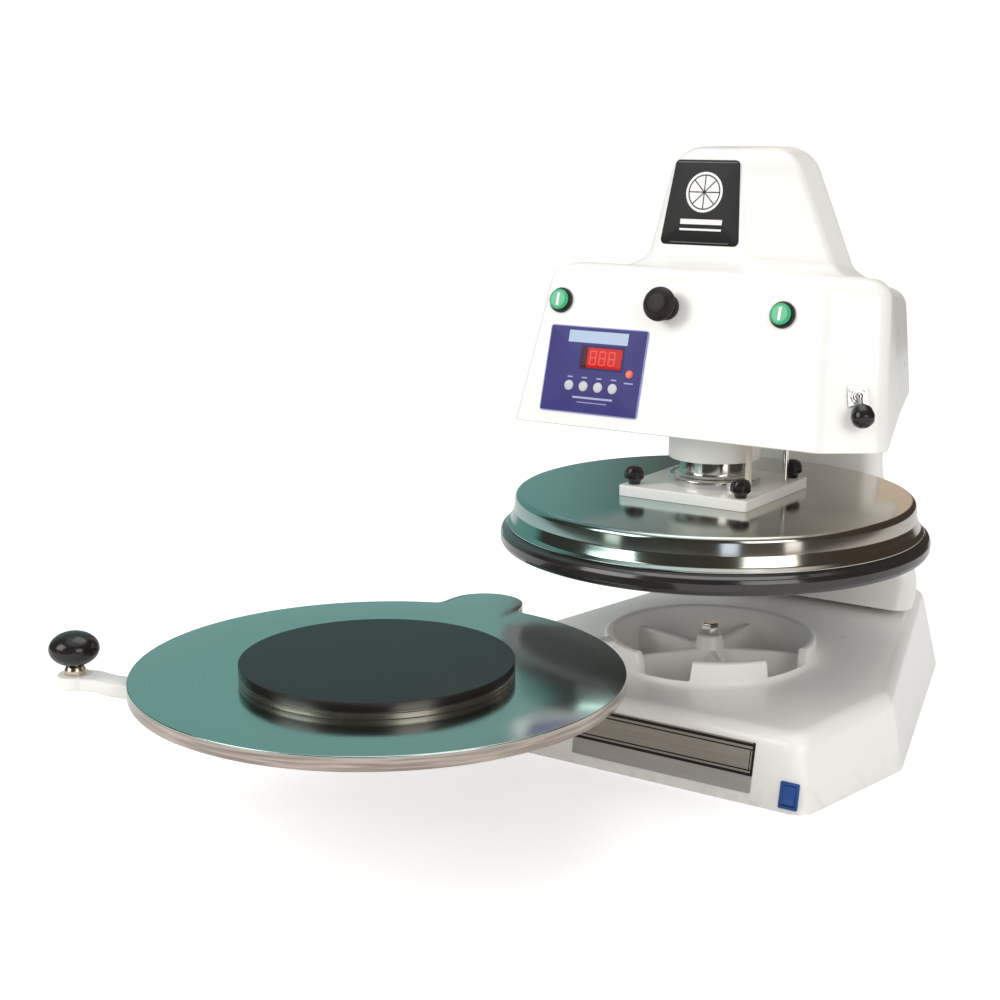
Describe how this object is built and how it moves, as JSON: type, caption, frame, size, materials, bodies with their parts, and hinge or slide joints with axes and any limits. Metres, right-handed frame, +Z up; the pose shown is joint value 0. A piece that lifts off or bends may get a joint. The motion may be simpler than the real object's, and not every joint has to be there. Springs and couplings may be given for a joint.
{
  "type": "pizza dough press",
  "caption": "Counter dough press: a heated round platen on a vertical ram above a lower platen that swings out on a pivot, with head controls and a C-shaped frame.",
  "frame": {"origin": "press axis on the surface that the machine stands on, on the underside of the bottom cover", "axes": "+X to the machine's right as seen from the front, +Y to the rear, +Z up along the press axis"},
  "size_m": [0.6825, 1.1194, 0.688],
  "materials": {
    "white_coat": "warm white gloss powder coat",
    "platen_aluminium": "machined, satin",
    "mould_coat": "dark non-stick coat over a turned edge",
    "chrome": "polished",
    "guard_black": "gloss black enamel",
    "steel": "turned steel",
    "bronze": "sintered bronze",
    "brass": "machined brass",
    "knob_black": "polished phenolic",
    "button_black": "moulded",
    "button_green": "moulded",
    "panel_blue": "printed overlay",
    "display_red": "tinted window",
    "lamp_red": "moulded lens",
    "key_silver": "moulded",
    "label_metal": "brushed plate",
    "badge_black": "printed plate",
    "rocker_blue": "moulded",
    "rubber_black": "moulded",
    "seal_rubber": "moulded ring",
    "board_green": "glass fibre board",
    "conduit_cream": "heat-proof sleeve"
  },
  "bodies": {
    "frame": {"base_casting": "white_coat", "bottom_cover": "steel", "column_casting": "white_coat", "column_bolts": "steel", "head_plate": "white_coat", "head_cover": "white_coat", "rear_cover": "white_coat", "tower_cover": "white_coat", "ram_bush": "bronze", "guide_bush": "bronze", "conduit_grommet": "rubber_black", "cylinder_barrel": "platen_aluminium", "cylinder_cap": "platen_aluminium", "tie_rods": "steel", "air_valve": "button_black", "pivot_shaft": "steel", "thrust_washer": "bronze", "stop_bolt": "chrome", "badge_plate": "badge_black", "label_plate": "label_metal", "rocker_frame": "rocker_blue", "power_inlet": "button_black", "air_inlet": "brass", "button_bezels": "button_black", "contact_blocks": "button_black", "control_panel": "panel_blue", "display_module": "display_red", "status_lamp": "lamp_red", "circuit_board": "board_green", "toggle_valve": "chrome"},
    "upper_platen": {"ram": "chrome", "piston": "platen_aluminium", "piston_seal": "seal_rubber", "ram_flange": "chrome", "carrier_plate": "white_coat", "clamp_studs": "steel", "clamp_knobs": "knob_black", "guide_rod": "chrome", "heater_conduit": "conduit_cream", "platen_cover": "chrome", "guard_ring": "guard_black", "heated_platen": "platen_aluminium", "heater_element": "steel"},
    "swing_platen": {"swing_arm": "white_coat", "pivot_bushes": "bronze", "lower_platen": "platen_aluminium", "mould_disc": "mould_coat", "handle_ferrule": "brass", "handle_knob": "knob_black"},
    "start_left": {"start_button_left": "button_green"},
    "start_right": {"start_button_right": "button_green"},
    "stop": {"stop_button": "button_black"},
    "key_1": {"panel_key_1": "key_silver"},
    "key_2": {"panel_key_2": "key_silver"},
    "key_3": {"panel_key_3": "key_silver"},
    "key_4": {"panel_key_4": "key_silver"},
    "lever": {"valve_lever": "steel", "valve_knob": "knob_black"},
    "rocker": {"rocker": "rocker_blue"}
  },
  "joints": [
    {"name": "press_slide", "type": "slide", "parent": "frame", "child": "upper_platen", "axis": [0, 0, -1], "range_m": [0, 0.038], "stiffness_N_per_m": 4000, "springref_m": -0.1},
    {"name": "platen_swing", "type": "hinge", "parent": "frame", "child": "swing_platen", "pos_m": [-0.186, -0.2115, 0.142], "axis": [0, 0, 1], "range_deg": [0, 126.78]},
    {"name": "start_left_press", "type": "slide", "parent": "frame", "child": "start_left", "axis": [0, 0.963, -0.2696], "range_m": [0, 0.003], "stiffness_N_per_m": 500, "springref_m": -0.002},
    {"name": "start_right_press", "type": "slide", "parent": "frame", "child": "start_right", "axis": [0, 0.963, -0.2696], "range_m": [0, 0.003], "stiffness_N_per_m": 500, "springref_m": -0.002},
    {"name": "stop_press", "type": "slide", "parent": "frame", "child": "stop", "axis": [0, 0.963, -0.2696], "range_m": [0, 0.003], "stiffness_N_per_m": 700, "springref_m": -0.002},
    {"name": "valve_toggle", "type": "hinge", "parent": "frame", "child": "lever", "pos_m": [0.20614, -0.06858, 0.42963], "axis": [-0.8042, -0.5944, 0], "range_deg": [0, 90]},
    {"name": "rocker_tilt", "type": "hinge", "parent": "frame", "child": "rocker", "pos_m": [0.204, -0.20796, 0.019], "axis": [1, 0, 0], "range_deg": [0, 12]},
    {"name": "key_1_press", "type": "slide", "parent": "frame", "child": "key_1", "axis": [0, 0.963, -0.2696], "range_m": [0, 0.0008], "stiffness_N_per_m": 400, "springref_m": -0.002},
    {"name": "key_2_press", "type": "slide", "parent": "frame", "child": "key_2", "axis": [0, 0.963, -0.2696], "range_m": [0, 0.0008], "stiffness_N_per_m": 400, "springref_m": -0.002},
    {"name": "key_3_press", "type": "slide", "parent": "frame", "child": "key_3", "axis": [0, 0.963, -0.2696], "range_m": [0, 0.0008], "stiffness_N_per_m": 400, "springref_m": -0.002},
    {"name": "key_4_press", "type": "slide", "parent": "frame", "child": "key_4", "axis": [0, 0.963, -0.2696], "range_m": [0, 0.0008], "stiffness_N_per_m": 400, "springref_m": -0.002}
  ]
}
